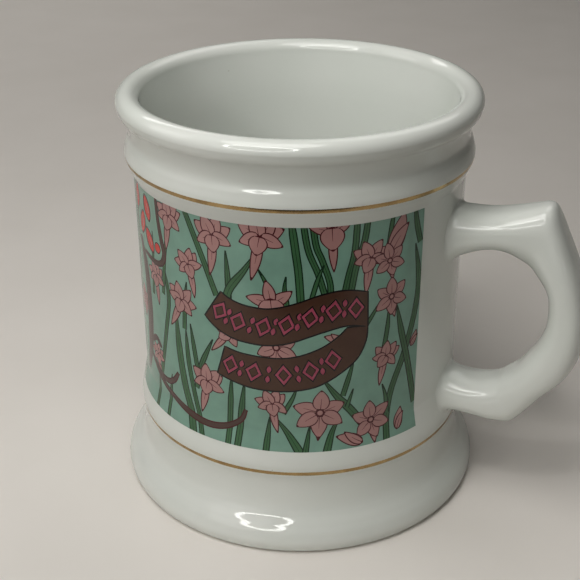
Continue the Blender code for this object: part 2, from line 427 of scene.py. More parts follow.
def printedEnamel(name, hexCode):
    # screen-printed enamel melted into the glaze: flat ink with a slight mottle, glossy but
    # softer than the glaze
    material, tree, shader, place = startMaterial(name)
    full = linear(hexCode)
    lean = tuple(min(1.0, c * (1 + enamel["mottleStrength"])) for c in full[:3]) + (1.0,)
    dense = tuple(c * (1 - enamel["mottleStrength"]) for c in full[:3]) + (1.0,)
    film = addNode(
        tree,
        "ShaderNodeTexNoise",
        inputs={"Vector": place, "Scale": perMetre(enamel["mottle"]), "Detail": 5.0},
    )
    tone = addNode(
        tree, "ShaderNodeMixRGB", inputs={"Fac": film.outputs["Fac"], "Color1": lean, "Color2": dense}
    )
    screen = addNode(
        tree,
        "ShaderNodeTexNoise",
        inputs={"Vector": place, "Scale": perMetre(enamel["screen"]), "Detail": 1.0},
    )
    relief = addNode(
        tree,
        "ShaderNodeBump",
        inputs={"Strength": 1.0, "Distance": enamel["screenDepth"] * mm, "Height": screen.outputs["Fac"]},
    )
    tree.links.new(tone.outputs["Color"], shader.inputs["Base Color"])
    tree.links.new(relief.outputs["Normal"], shader.inputs["Normal"])
    shader.inputs["Roughness"].default_value = enamel["roughness"]
    shader.inputs["IOR"].default_value = enamel["ior"]
    return material


bodyGlaze = glazedPorcelain("glazedPorcelain")
print("materials started")


def turnMugBody():
    s = bodyShape
    innerR = wallR - s["wallThickness"]
    rollCentre = (wallR + s["rimOut"] - s["rimRollR"], mugTop - s["rimRollR"])
    floorCorner = (innerR - s["floorCornerR"], s["floorZ"] + s["floorCornerR"])
    mouthR = rollCentre[0] - s["rimRollR"]
    mouth = softCurve(
        [
            (innerR, mugTop - s["bulgeDrop"]),
            (innerR + 0.3 * (mouthR - innerR), mugTop - s["grooveDrop"]),
            (mouthR, rollCentre[1]),
        ],
        s["curveSteps"],
    )
    ringR = wallR + s["footOut"] - s["ringInset"] - s["ringWidth"]
    profile = np.concatenate(
        [
            [(0.0, s["floorZ"]), (0.6 * floorCorner[0], s["floorZ"])],
            arcPoints(floorCorner, s["floorCornerR"], -90, 0, 20),
            mouth,
            arcPoints(rollCentre, s["rimRollR"], 180, 0, 28)[1:-1],
            sideLine,
            [
                (ringR, 0.0),
                (ringR - 0.3 * s["recessZ"], 0.3 * s["recessZ"]),
                (ringR - s["recessZ"], s["recessZ"]),
                (0.0, s["recessZ"]),
            ],
        ]
    )
    around = s["aroundSteps"]
    angles = 2 * math.pi * np.arange(around) / around
    points = [(0.0, 0.0, profile[0][1])]
    for radius, z in profile[1:-1]:
        points.extend(aroundPoints(angles, radius, z).tolist())
    points.append((0.0, 0.0, profile[-1][1]))
    rings = len(profile) - 2
    # the wiped foot is the side's last two steps, the flat ring and the chamfer inside it
    bareRows = range(rings - 6, rings - 2)
    faces = tubeFaces(rings, around, 1)
    finishOfFace = [int(row in bareRows) for row in range(rings - 1) for _ in range(around)]
    last = 1 + (rings - 1) * around
    for k in range(around):
        after = (k + 1) % around
        faces.append((0, 1 + k, 1 + after))
        faces.append((last + k, len(points) - 1, last + after))
        finishOfFace += [0, 0]
    finishes = [bodyGlaze, biscuitPorcelain("biscuitPorcelain")]
    body = addPiece("mugBody", points, faces, finishes, "mug_body", None, finishOfFace)
    body.data.set_sharp_from_angle(angle=math.radians(s["sharpDegrees"]))
    return body


turnMugBody()
print("mug body turned")

handleShape = {
    "reach": 30.7,
    "breadth": 12.8,
    "upperRootDrop": 30.0,
    "lowerRootZ": 26.8,
    "rootDepth": 12.9,
    "armDepth": 8.6,
    "bowDepth": 9.1,
    "upperSpurDepth": 15.3,
    "lowerSpurDepth": 11.8,
    "squareness": 2.6,
    "lengthSteps": 14,
    "sectionPoints": 80,
    "softenPasses": 8,  # rounds the two spurs as the glaze does
    "flareStart": 2.6,  # how far off the wall the root starts to spread
    "flareMargin": 1.3,
    "flareTuck": 1.6,
    "flareSteps": 14,
    "flareSink": 0.05,
    "capSink": 1.2,  # the hidden end of each root lies this deep in the wall
}


def handleStations():
    # (share of the reach, height, depth, tilt in degrees, breadth share); the tilt is from
    # straight up to the outer edge
    h = handleShape
    upper = mugTop - h["upperRootDrop"]
    lower = h["lowerRootZ"]
    span = upper - lower
    arm, bow = h["armDepth"], h["bowDepth"]
    upperSpur = (0.622, upper + 2.9, h["upperSpurDepth"], 12.9, 0.93)
    lowerSpur = (0.477, lower + 0.9, h["lowerSpurDepth"], 159.0, 0.95)
    upperArm = [
        (-0.05, upper, h["rootDepth"], 0.0, 1.08),
        (0.065, upper + 1.0, 0.5 * (h["rootDepth"] + arm), 0.0, 1.0),
        (0.228, upper + 2.2, arm, 0.0, 1.0),
        (0.407, upper + 3.0, 1.13 * arm, 5.9, 1.0),
        upperSpur,
    ]
    bowRun = [
        upperSpur,
        (0.765, lower + 0.88 * span, 1.15 * bow, 26.0, 1.0),
        (0.831, lower + 0.735 * span, bow, 50.0, 1.0),
        (0.857, lower + 0.57 * span, bow, 75.0, 1.0),
        (0.827, lower + 0.415 * span, 1.06 * bow, 97.0, 1.0),
        (0.75, lower + 0.28 * span, 1.1 * bow, 110.0, 1.0),
        (0.625, lower + 0.155 * span, bow, 130.0, 1.0),
        lowerSpur,
    ]
    lowerArm = [
        lowerSpur,
        (0.35, lower, 1.17 * arm, 166.0, 1.0),
        (0.187, lower - 0.1, arm, 177.0, 1.0),
        (0.065, lower, 1.05 * arm, 180.0, 1.0),
        (-0.05, lower, 0.82 * h["rootDepth"], 180.0, 1.08),
    ]
    runs = [softCurve(run, h["lengthSteps"]) for run in (upperArm, bowRun, lowerArm)]
    return np.concatenate([runs[0][:-1], runs[1][:-1], runs[2]])


def handleRing(station):
    # one squared-off oval section
    out, z, depth, tilt, breadth = station
    turn = 2 * math.pi * np.arange(handleShape["sectionPoints"]) / handleShape["sectionPoints"]
    power = 2 / handleShape["squareness"]
    along = np.sign(np.cos(turn)) * np.abs(np.cos(turn)) ** power * 0.5 * depth
    across = np.sign(np.sin(turn)) * np.abs(np.sin(turn)) ** power * 0.5 * breadth * handleShape["breadth"]
    tilt = math.radians(tilt)
    x = wallR + out * handleShape["reach"] + math.sin(tilt) * along
    return np.column_stack([x, across, z + math.cos(tilt) * along])


def onWall(yz, sink=0.0):
    # the place on the body's side at a y and a height, facing the handle
    radius = sideRadius(yz[:, 1]) - sink
    return np.column_stack([np.sqrt(radius**2 - yz[:, 0] ** 2), yz[:, 0], yz[:, 1]])


def rootFlare(ring, nextRing, rootRing):
    # rings that spread from the handle onto the wall, tangent to both, from the wall outwards
    h = handleShape
    heading = ring - nextRing
    heading /= np.linalg.norm(heading, axis=1)[:, None]
    middle = rootRing.mean(axis=0)[1:]
    outward = rootRing[:, 1:] - middle
    outward /= np.linalg.norm(outward, axis=1)[:, None]
    edge = rootRing[:, 1:] + outward * h["flareMargin"]
    onEdge = onWall(edge, h["flareSink"])
    tucked = onWall(edge - outward * h["flareTuck"], 0.5 * h["flareSink"])
    reach = np.linalg.norm(ring - onEdge, axis=1)[:, None]
    pulled = ring + heading * 0.5 * reach
    rings = []
    for step in range(h["flareSteps"]):
        t = step / h["flareSteps"]
        rings.append(
            (1 - t) ** 3 * onEdge + 3 * t * (1 - t) ** 2 * tucked + 3 * t**2 * (1 - t) * pulled + t**3 * ring
        )
    return np.array(rings)


def gridNormals(grid):
    # normals of a tube given as rings of points
    along = np.gradient(grid, axis=0)
    around = np.roll(grid, -1, axis=1) - np.roll(grid, 1, axis=1)
    normals = np.cross(around, along)
    normals /= np.maximum(np.linalg.norm(normals, axis=2), 1e-9)[:, :, None]
    outward = grid - grid.mean(axis=1)[:, None, :]
    return normals * np.sign(np.sum(normals * outward))


def addTube(name, grid, normals, finish, standsFor):
    rings, count = grid.shape[:2]
    faces = [tuple(range(count)), tuple((rings - 1) * count + k for k in reversed(range(count)))]
    faces += tubeFaces(rings, count)
    flat = normals.reshape(-1, 3)
    return addPiece(name, grid.reshape(-1, 3), faces, [finish], standsFor, flat.tolist())


def loftHandle():
    h = handleShape
    stations = handleStations()
    rings = np.array([handleRing(station) for station in stations])
    for _ in range(h["softenPasses"]):
        rings[1:-1] = 0.5 * rings[1:-1] + 0.25 * (rings[:-2] + rings[2:])
    offWall = stations[:, 0] * h["reach"]
    kept = np.flatnonzero(offWall >= h["flareStart"])
    first, last = kept[0], kept[-1]
    upperFlare = rootFlare(rings[first], rings[first + 1], handleRing(stations[0]))
    lowerFlare = rootFlare(rings[last], rings[last - 1], handleRing(stations[-1]))[::-1]
    whole = np.concatenate([upperFlare, rings[first : last + 1], lowerFlare])
    normals = gridNormals(whole)
    n = h["flareSteps"]
    glazed = glazedPorcelain("glazedPorcelainHandle")
    addTube("mugHandle", whole[n:-n], normals[n:-n], glazed, "handle")
    upperEnd, lowerEnd = (onWall(whole[row][:, 1:], h["capSink"])[None] for row in (0, -1))
    upper = np.concatenate([upperEnd, whole[: n + 1]])
    lower = np.concatenate([whole[-n - 1 :], lowerEnd])
    upperNormals = np.concatenate([normals[:1], normals[: n + 1]])
    lowerNormals = np.concatenate([normals[-n - 1 :], normals[-1:]])
    addTube("upperSlipJoint", upper, upperNormals, glazed, "upper_slip_joint")
    addTube("lowerSlipJoint", lower, lowerNormals, glazed, "lower_slip_joint")


loftHandle()
print("handle lofted with its slip joints")

goldLine = {
    "lift": 0.02,
    "edgeSink": 0.004,
    "waver": 0.05,
    "unevenness": 0.09,
    "phaseSpan": 6.3,  # each wave starts anywhere in about one full turn
    "widthPoints": 7,
    "aroundSteps": 360,
}


def brushGoldLine(name, node, finish, seed):
    # a line laid with a banding brush: its height and width waver a little as the mug turns
    g = goldLine
    low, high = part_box(node)
    middle, width = 0.5 * (low.z + high.z) / mm, (high.z - low.z) / mm
    pick = random.Random(seed)
    angles = 2 * math.pi * np.arange(g["aroundSteps"]) / g["aroundSteps"]
    drift = sum(np.sin(k * angles + pick.uniform(0, g["phaseSpan"])) / k for k in (1, 2, 3, 5, 8))
    swell = sum(np.sin(k * angles + pick.uniform(0, g["phaseSpan"])) for k in (3, 7, 13, 29)) / 4
    points, normals = [], []
    for share in np.linspace(-1, 1, g["widthPoints"]):
        z = middle + g["waver"] * drift - share * 0.5 * width * (1 + g["unevenness"] * swell)
        lift = g["lift"] * (1 - share**4) - g["edgeSink"]
        points.append(aroundPoints(angles, sideRadius(z) + lift, z))
        normals.append(sideNormal(angles, z))
    faces = tubeFaces(g["widthPoints"], g["aroundSteps"])
    addPiece(name, np.concatenate(points), faces, [finish], node, np.concatenate(normals).tolist())


gold = brightGold("brightGold")
brushGoldLine("upperGoldLine", "upper_gold_line", gold, 5)
brushGoldLine("lowerGoldLine", "lower_gold_line", gold, 11)
print("gold lines brushed on")

# The print is drawn flat first. A place on it is a complex number in mm: the real part runs round the
# wall from the handle, counter-clockwise from above, and the imaginary part is the height. Later ink
# covers earlier ink.
drawing = []

printSheet = {
    "windowDegrees": 24.5,  # half the bare window at the handle
    "lift": 0.03,
    "stripWidth": 2.0,  # the sheet is cut into strips this wide, so that it bends with the wall
    "bendRow": 1.0,
    "tileStrips": 7,
    "lineWidth": 0.26,
    "leastInside": 0.62,  # a shape thinner than this share of its line is all line
}
printLow, printHigh = (corner.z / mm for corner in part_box("print_transfer"))
rightEdge = -math.radians(printSheet["windowDegrees"]) * wallR
leftEdge = -(2 * math.pi - math.radians(printSheet["windowDegrees"])) * wallR


def layInk(ink, outline):
    area = np.sum(np.imag(np.conj(outline) * np.roll(outline, -1)))
    drawing.append((ink, outline if area > 0 else outline[::-1]))


def stroke(line, halfWidth):
    along = np.gradient(line)
    side = 1j * along / np.maximum(np.abs(along), 1e-6) * halfWidth
    return np.concatenate([line - side, (line + side)[::-1]])


def layShape(ink, lineInk, line, halfWidth, edge=printSheet["lineWidth"]):
    # a filled shape round a middle line, with its drawn outline
    layInk(lineInk, stroke(line, halfWidth + 0.5 * edge))
    inside = halfWidth > printSheet["leastInside"] * edge
    layInk(ink, stroke(line[inside], halfWidth[inside] - 0.5 * edge))


def layBlade(points, width):
    # a long leaf: its tip is at the first point
    line = softCurve([complex(*p) for p in points], 5)
    run = np.concatenate([[0], np.cumsum(np.abs(np.diff(line)))])
    taper = np.minimum(1, run / (5.0 * width) + 0.02) ** 0.7
    half = 0.5 * width * taper
    layShape("leaf", "leafLine", line, half)
    if width > 1.0:
        rib = line[1:-1]
        layInk("leafLine", stroke(rib, np.full(len(rib), 0.05)))


petalShape = {"rise": 0.62, "fall": 0.95}


def petalHalf(t):
    # full at two fifths of its length, with a narrow claw and a pointed tip
    rise, fall = petalShape["rise"], petalShape["fall"]
    peak = rise / (rise + fall)
    return (t / peak) ** rise * ((1 - t) / (1 - peak)) ** fall


def layPetal(base, heading, length, width, bend=0.0, vein=True):
    t = np.linspace(0, 1, 13)
    line = base + length * heading * (t + 1j * bend * t**2)
    half = 0.5 * width * petalHalf(t)
    layShape("petal", "petalLine", line, half)
    if vein:
        inner = line[1:8]
        layInk("petalLine", stroke(inner, np.linspace(0.09, 0.03, len(inner))))


def layDisc(ink, centre, radius):
    turn = 2 * math.pi * np.arange(10) / 10
    layInk(ink, centre + radius * np.exp(1j * turn))


def openFlower(centre, size, lean, pick):
    # six petals that face the eye, with a small ringed throat and a short tube below
    down = np.exp(1j * (math.radians(lean) - 0.5 * math.pi))
    layPetal(centre, down, 0.62 * size, 0.2 * size, pick.uniform(-0.1, 0.1), False)
    turns = [k * math.pi / 3 + pick.uniform(-0.12, 0.12) for k in range(6)]
    for k in (1, 3, 5, 0, 2, 4):
        heading = np.exp(1j * (turns[k] + math.radians(lean + 90)))
        length = 0.5 * size * pick.uniform(0.88, 1.08)
        layPetal(centre + 0.05 * size * heading, heading, length, 0.32 * size, pick.uniform(-0.12, 0.12))
    layDisc("petalLine", centre, 0.085 * size)
    layDisc("petal", centre, 0.055 * size)


def trumpetFlower(centre, size, lean, pick):
    # seen from the side: a narrow tube below, petals that spread above, and a lip that hangs in front
    up = np.exp(1j * math.radians(lean + 90))
    layPetal(centre, -up, 0.85 * size, 0.2 * size, pick.uniform(-0.15, 0.15))
    for turn, length, width in ((-58, 0.5, 0.3), (58, 0.5, 0.3), (-20, 0.52, 0.3), (24, 0.5, 0.3)):
        heading = up * np.exp(1j * math.radians(turn + pick.uniform(-8, 8)))
        layPetal(centre, heading, length * size, width * size, pick.uniform(-0.15, 0.15))
    for turn, length, width in ((-112, 0.46, 0.26), (118, 0.42, 0.26), (172, 0.4, 0.34)):
        heading = up * np.exp(1j * math.radians(turn + pick.uniform(-8, 8)))
        layPetal(centre + 0.06 * size * up, heading, length * size, width * size, pick.uniform(-0.2, 0.2))


def bellFlower(centre, size, lean, pick):
    # a nodding bell: a full cup with two small wings over it
    up = np.exp(1j * math.radians(lean + 90))
    layPetal(centre - 0.1 * size * up, -up, 0.8 * size, 0.18 * size, 0.0, False)
    for turn in (-66, 66, 0):
        layPetal(centre, up * np.exp(1j * math.radians(turn)), 0.5 * size, 0.24 * size, 0.1)
    layPetal(centre + 0.12 * size * up, -up, 0.55 * size, 0.5 * size, 0.0)


def closedBud(centre, size, lean, pick):
    up = np.exp(1j * math.radians(lean + 90))
    layPetal(centre - 0.4 * size * up, up, size, 0.42 * size, 0.12)
    layPetal(centre - 0.4 * size * up, up, 0.8 * size, 0.3 * size, -0.16)


flowerKinds = {"open": openFlower, "trumpet": trumpetFlower, "bell": bellFlower, "bud": closedBud}

# blades that show from the front: (width, tip first)
frontBlades = [
    (1.3, (-73, 84), (-67, 71), (-63, 61)),
    (1.2, (-60.5, 72), (-60.2, 67), (-60, 60)),
    (1.7, (-54, 72), (-56.5, 68), (-60, 63), (-61, 58)),
    (0.9, (-53.5, 69), (-51.5, 65), (-51, 61)),
    (1.2, (-47.6, 67.5), (-47.9, 64.5), (-47.5, 60)),
    (1.5, (-47, 84), (-45.6, 73), (-45, 68), (-44.5, 60)),
    (1.2, (-44.6, 84), (-43.2, 74), (-41, 68), (-39.3, 62)),
    (1.2, (-42.6, 84), (-41.6, 75), (-40.2, 71), (-38.6, 66), (-38.3, 62)),
    (0.9, (-39.8, 70), (-41, 67), (-42.4, 62)),
    (1.3, (-32.8, 84), (-33.3, 73), (-34.6, 67), (-35.8, 61)),
    (1.3, (-30.2, 84), (-31.2, 75), (-33, 69), (-34.2, 62)),
    (1.0, (-24.3, 82), (-25.2, 76), (-25.8, 71)),
    (1.4, (-19.3, 82), (-18.4, 76), (-17, 71)),
    (1.5, (-18.4, 71), (-16.9, 62), (-17.8, 54), (-20.4, 45), (-24, 35), (-25, 22)),
    (0.8, (-27, 60), (-28.6, 57.5), (-30.5, 54.5)),
    (1.0, (-25, 58), (-25.2, 53), (-26, 47.5)),
    (1.5, (-23, 58), (-21.4, 51), (-19, 42), (-16.5, 31)),
    (1.0, (-26, 39), (-25, 35.5), (-24.5, 31)),
    (1.1, (-33, 47), (-34, 43), (-35.4, 38)),
    (1.7, (-40, 43), (-36.6, 38), (-33.4, 34), (-30, 29)),
    (0.9, (-33, 39.5), (-33.6, 37.6), (-34.4, 35)),
    (1.2, (-60, 42), (-60.4, 36), (-61.3, 20)),
    (1.4, (-57, 41), (-57.8, 34), (-59.2, 20)),
    (0.9, (-45.4, 41), (-46.4, 38), (-48.4, 34)),
    (1.3, (-51.4, 33), (-51.9, 28), (-52.6, 20)),
    (1.8, (-50.2, 33), (-47.5, 29), (-44.6, 24), (-43, 20)),
    (1.2, (-42.6, 31), (-43.2, 27), (-44.4, 20)),
    (1.6, (-36, 33), (-38, 28), (-40, 20)),
    (1.2, (-64.4, 50), (-66, 46.6), (-68, 42), (-69.5, 36)),
    (1.1, (-70.5, 52), (-69.7, 46), (-68.8, 40)),
    (2.0, (-75, 54), (-74.6, 45), (-73.4, 36), (-71.5, 29), (-69.5, 20)),
    (1.2, (-72, 50), (-71.6, 42), (-70, 33), (-68, 25), (-67, 20)),
    (1.2, (-79, 64), (-77.4, 56), (-79, 48), (-81, 40), (-83, 33)),
    (1.0, (-74.5, 84), (-76, 74), (-78, 66), (-79.5, 56)),
    (1.1, (-71, 62), (-71.8, 57), (-72.4, 50)),
    (0.9, (-83, 70), (-83.5, 62), (-84.4, 54)),
    (1.1, (-84, 34), (-84.3, 28), (-84.8, 20)),
    (1.0, (-78, 36), (-79, 29), (-79.4, 20)),
    (1.0, (-88, 56), (-88.6, 48), (-89.5, 40)),
    (1.0, (-93, 84), (-92.4, 72), (-94, 60), (-95, 50)),
]
# flowers that show from the front: (kind, place, size, lean in degrees)
frontFlowers = [
    ("bell", (-50.8, 61), 11, 6),
    ("open", (-49.8, 50.6), 9, 0),
    ("trumpet", (-60.5, 52.4), 8, -38),
    ("bud", (-36.8, 52.3), 5, 60),
    ("trumpet", (-63.6, 74.4), 10.5, 2),
    ("trumpet", (-53, 75.6), 11.5, -8),
    ("bell", (-38.2, 77.2), 10, 3),
    ("trumpet", (-29.8, 70.0), 9.4, -8),
    ("bud", (-23.4, 73.6), 9.6, -26),
    ("open", (-25.2, 68.8), 7.6, 12),
    ("open", (-24.4, 60.2), 8.4, 6),
    ("trumpet", (-25.4, 45.6), 8.2, -16),
    ("bud", (-17.6, 47.5), 4, -30),
    ("open", (-28.6, 30.4), 9.6, 12),
    ("bud", (-33, 26.6), 6.6, 62),
    ("bud", (-21.2, 28), 5.6, -20),
    ("open", (-40.4, 34.2), 11.4, 0),
    ("trumpet", (-50.8, 36), 8.4, 4),
    ("trumpet", (-66.4, 38.4), 10, -12),
    ("trumpet", (-70.2, 66), 8.6, 18),
    ("trumpet", (-73.2, 56.6), 9.6, -22),
    ("trumpet", (-76, 75.4), 9.5, -10),
    ("trumpet", (-82.4, 59), 8, 6),
    ("trumpet", (-84.2, 38), 7, 10),
    ("open", (-91.5, 49.5), 7.5, 0),
]
backFlora = {"seed": 21, "columns": 12, "rows": 4, "from": -98.0, "blades": 44}


def growBackFlora():
    # the unseen side carries on in the same way, from a seeded draw
    b = backFlora
    pick = random.Random(b["seed"])
    span = b["from"] - leftEdge
    for k in range(b["blades"]):
        x = b["from"] - span * (k + pick.uniform(0.1, 0.9)) / b["blades"]
        top = pick.choice((84.0, 84.0, pick.uniform(45, 74)))
        bottom = pick.choice((20.0, 20.0, pick.uniform(26, 44)))
        if top - bottom < 14:
            bottom = 20.0
        sway, lean = pick.uniform(-2.2, 2.2), pick.uniform(-5, 5)
        points = []
        for step in range(5):
            t = step / 4
            points.append((x + lean * t + sway * math.sin(math.pi * t * 1.4), top + (bottom - top) * t))
        layBlade(points, pick.uniform(0.9, 1.8))
    for column in range(b["columns"]):
        for row in range(b["rows"]):
            x = b["from"] - span * (column + 0.5 + pick.uniform(-0.22, 0.22)) / b["columns"]
            x += 0.5 * (row % 2 - 0.5) * span / b["columns"]
            z = printLow + (printHigh - printLow) * (row + 0.5 + pick.uniform(-0.2, 0.2)) / b["rows"]
            kind = pick.choice(("open", "trumpet", "trumpet", "trumpet", "bell", "bud"))
            size = pick.uniform(7.0, 10.5) * (0.7 if kind == "bud" else 1.0)
            flowerKinds[kind](complex(x, z), size, pick.uniform(-24, 24), pick)


def sheetCorners(left, right):
    return [
        complex(left, printLow),
        complex(right, printLow),
        complex(right, printHigh),
        complex(left, printHigh),
    ]


layInk("ground", np.array(sheetCorners(leftEdge, rightEdge)))
for width, *points in frontBlades:
    layBlade(points, width)
petalDraw = random.Random(7)
for kind, place, size, lean in frontFlowers:
    flowerKinds[kind](complex(*place), size, lean, petalDraw)
growBackFlora()
print("flowers drawn")

ribbon = {
    "edge": 0.36,
    # the two rows of the folded ribbon, each as its upper and its lower edge from left to right
    "upperTop": [(-61.9, 62.3), (-60, 61.1), (-57, 60.1), (-52.3, 59.7), (-48.7, 60.3), (-44.9, 61.5),
                 (-41.2, 62.9), (-37.4, 63.7), (-34.2, 63.7), (-30.2, 62.7)],
    "upperLow": [(-66.2, 55.5), (-63.7, 53.4), (-59.9, 51.7), (-55.3, 51), (-51.2, 51), (-47, 51.8),
                 (-42.8, 53.3), (-38.7, 54.6), (-34.5, 55.3), (-30, 54.4)],
    "lowerTop": [(-61.4, 49.2), (-58.3, 48.4), (-53.3, 48), (-48.7, 48), (-44.5, 48.8), (-39.9, 50.7),
                 (-36.6, 53), (-34.7, 54.9)],
    "lowerLow": [(-63.5, 41.9), (-59.9, 40.8), (-55.3, 39.9), (-48.7, 39.7), (-42.8, 40.5), (-39.1, 41.9),
                 (-34.9, 44.6), (-32, 47.3), (-30.3, 51.1), (-30, 54.8)],
    "motifs": 7,
    "motifsLow": 5,
    "motifHeight": 5.0,
    "motifWidth": 3.7,
}


def layPanel(ink, lineInk, outline, edge):
    along = np.roll(outline, -1) - np.roll(outline, 1)
    inward = 1j * along / np.abs(along)
    layInk(lineInk, outline - 0.5 * edge * inward)
    layInk(ink, outline + 0.5 * edge * inward)


def bandOutline(low, top):
    lowLine = softCurve([complex(*p) for p in low], 4)
    topLine = softCurve([complex(*p) for p in top], 4)
    return np.concatenate([lowLine, topLine[::-1]]), lowLine, topLine


def lozenge(centre, upright, height, width):
    corners = np.array([-0.5j * height, 0.5 * width, 0.5j * height, -0.5 * width])
    return centre + corners * upright


def alongLine(line, share):
    steps = np.linspace(0, 1, len(line))
    return np.interp(share, steps, line.real) + 1j * np.interp(share, steps, line.imag)


def layMotifs(lowLine, topLine, count, first, last):
    # open lozenges with a pair of leaves between them
    for k in range(2 * count - 1):
        share = first + (last - first) * k / (2 * count - 2)
        low, top = alongLine(lowLine, share), alongLine(topLine, share)
        centre = 0.5 * (low + top)
        upright = (top - low) / abs(top - low) / 1j
        tall, wide = ribbon["motifHeight"], ribbon["motifWidth"]
        if k % 2 == 0:
            layers = (("blackLine", 0.65), ("ornament", 0.0), ("blackLine", -1.35), ("ribbon", -1.75))
            for ink, grow in layers:
                layInk(ink, lozenge(centre, upright, tall + 1.4 * grow, wide + grow))
        else:
            for side in (-1, 1):
                t = np.linspace(0, 1, 9)
                line = centre + upright * side * 1j * (0.35 + 0.36 * tall * t)
                half = 0.5 * np.sin(np.pi * t) ** 0.8
                layInk("blackLine", stroke(line, half + 0.28))
                layInk("ornament", stroke(line, half))


lowerBand, lowerLow, lowerTop = bandOutline(ribbon["lowerLow"], ribbon["lowerTop"])
upperBand, upperLow, upperTop = bandOutline(ribbon["upperLow"], ribbon["upperTop"])
layPanel("ribbon", "blackLine", lowerBand, ribbon["edge"])
layPanel("ribbon", "blackLine", upperBand, ribbon["edge"])
layMotifs(upperLow, upperTop, ribbon["motifs"], 0.09, 0.93)
layMotifs(lowerLow[: len(lowerTop)], lowerTop, ribbon["motifsLow"], 0.1, 0.78)
print("ribbon drawn")

scroll = {
    "mirrorAt": -104.0,  # the scroll's left half repeats its right half about this line
    "edge": 0.3,
    # strokes: (full width, points)
    "strokes": [
        (1.3, (-81, 84), (-80, 74), (-79, 69), (-78.2, 66), (-79.6, 63.4), (-83, 62.7), (-88, 63.4)),
        (3.2, (-91, 66), (-88.4, 60), (-87.6, 52), (-88, 44), (-89.4, 37), (-92, 31)),
        (1.2, (-88.2, 41), (-86.6, 41.4), (-84.4, 42.6), (-82, 41)),
        (1.3, (-86, 36), (-83, 33.8), (-79.8, 33.4), (-77.2, 34.8), (-75.4, 37.4)),
        (1.4, (-90, 39), (-86.6, 35.6), (-82.6, 32.4), (-77.6, 30.2), (-71.6, 28.4), (-66, 27.8),
         (-61.4, 28.8), (-58, 31.2), (-56.8, 34)),
    ],
    "berries": [(-85.2, 74.6, 20), (-88.4, 70.2, -16), (-84.6, 67.2, 34), (-91.6, 75.4, -4)],
    "berryLong": 6.4,
    "berryWide": 3.2,
    "dot": (-80.9, 66.6),
}


def mirrored(points):
    return [(2 * scroll["mirrorAt"] - x, z) for x, z in points]


for width, *points in scroll["strokes"]:
    for side in (points, mirrored(points)):
        line = softCurve([complex(*p) for p in side], 6)
        run = np.linspace(0, 1, len(line))
        half = 0.5 * width * (0.35 + 0.65 * np.sin(np.pi * np.clip(run, 0.02, 0.98)) ** 0.5)
        layShape("scroll", "petalLine", line, half, scroll["edge"])
for x, z, lean in scroll["berries"]:
    for place, turn in ((complex(x, z), lean), (complex(2 * scroll["mirrorAt"] - x, z), -lean)):
        up = np.exp(1j * math.radians(turn + 90))
        t = np.linspace(-0.5, 0.5, 13)
        half = 0.5 * scroll["berryWide"] * np.cos(np.pi * t) ** 0.7
        line = place + up * scroll["berryLong"] * t
        layShape("berry", "petalLine", line, half, 0.45)
        layInk("petal", stroke(line[4:9] + 0.5, np.full(5, 0.16)))
for x in (scroll["dot"][0], 2 * scroll["mirrorAt"] - scroll["dot"][0]):
    layDisc("petalLine", complex(x, scroll["dot"][1]), 1.4)
    layDisc("berry", complex(x, scroll["dot"][1]), 1.1)
print("scroll drawn:", len(drawing), "outlines")


def cutTile(left, right):
    # one tile of the print: every spot takes the topmost ink over it, so that nothing overlaps
    points, outlines, cuts, covering = [], [], [], []

    def add(outline):
        start = len(points)
        points.extend(Vector((z.real, z.imag)) for z in outline)
        return list(range(start, len(points)))

    outlines.append(add(sheetCorners(left, right)))
    covering.append(None)
    for ink, outline in drawing:
        if outline.real.max() > left and outline.real.min() < right:
            outlines.append(add(outline))
            covering.append(ink)
    strips = round((right - left) / printSheet["stripWidth"])
    for k in range(1, strips):
        x = left + (right - left) * k / strips
        cuts.append(add([complex(x, printLow), complex(x, printHigh)]))
    z = printLow + printSheet["bendRow"]
    while z < bodyShape["flareZ"] + printSheet["bendRow"]:
        cuts.append(add([complex(left, z), complex(right, z)]))
        z += printSheet["bendRow"]
    flat, _, triangles, _, _, owners = delaunay_2d_cdt(points, cuts, outlines, 1, 1e-4, True)
    inkOf = []
    for owner in owners:
        inkOf.append(covering[max(owner)] if 0 in owner else None)
    return np.array([(p.x, p.y) for p in flat]), triangles, inkOf


def firePrint():
    # bends the flat print round the wall, one piece for each ink
    p = printSheet
    strips = round((rightEdge - leftEdge) / p["stripWidth"])
    edges = np.linspace(leftEdge, rightEdge, math.ceil(strips / p["tileStrips"]) + 1)
    sheets = {ink: ([], [], []) for ink in inks}
    for left, right in zip(edges, edges[1:]):
        flat, triangles, inkOf = cutTile(left, right)
        angle = flat[:, 0] / wallR
        around = aroundPoints(angle, sideRadius(flat[:, 1]) + p["lift"], flat[:, 1])
        facing = sideNormal(angle, flat[:, 1])
        for ink, (points, normals, faces) in sheets.items():
            mine = [tri for tri, owner in zip(triangles, inkOf) if owner == ink]
            used = sorted({v for tri in mine for v in tri})
            place = {v: len(points) + k for k, v in enumerate(used)}
            points.extend(around[used].tolist())
            normals.extend(facing[used].tolist())
            faces.extend(tuple(place[v] for v in tri) for tri in mine)
    for ink, (points, normals, faces) in sheets.items():
        name, hexCode = inks[ink]
        addPiece("print" + ink[0].upper() + ink[1:], points, faces, [printedEnamel(name, hexCode)],
                 "print_transfer", normals)
        print("  ", ink, len(faces), "faces")


firePrint()
print("print fired on")

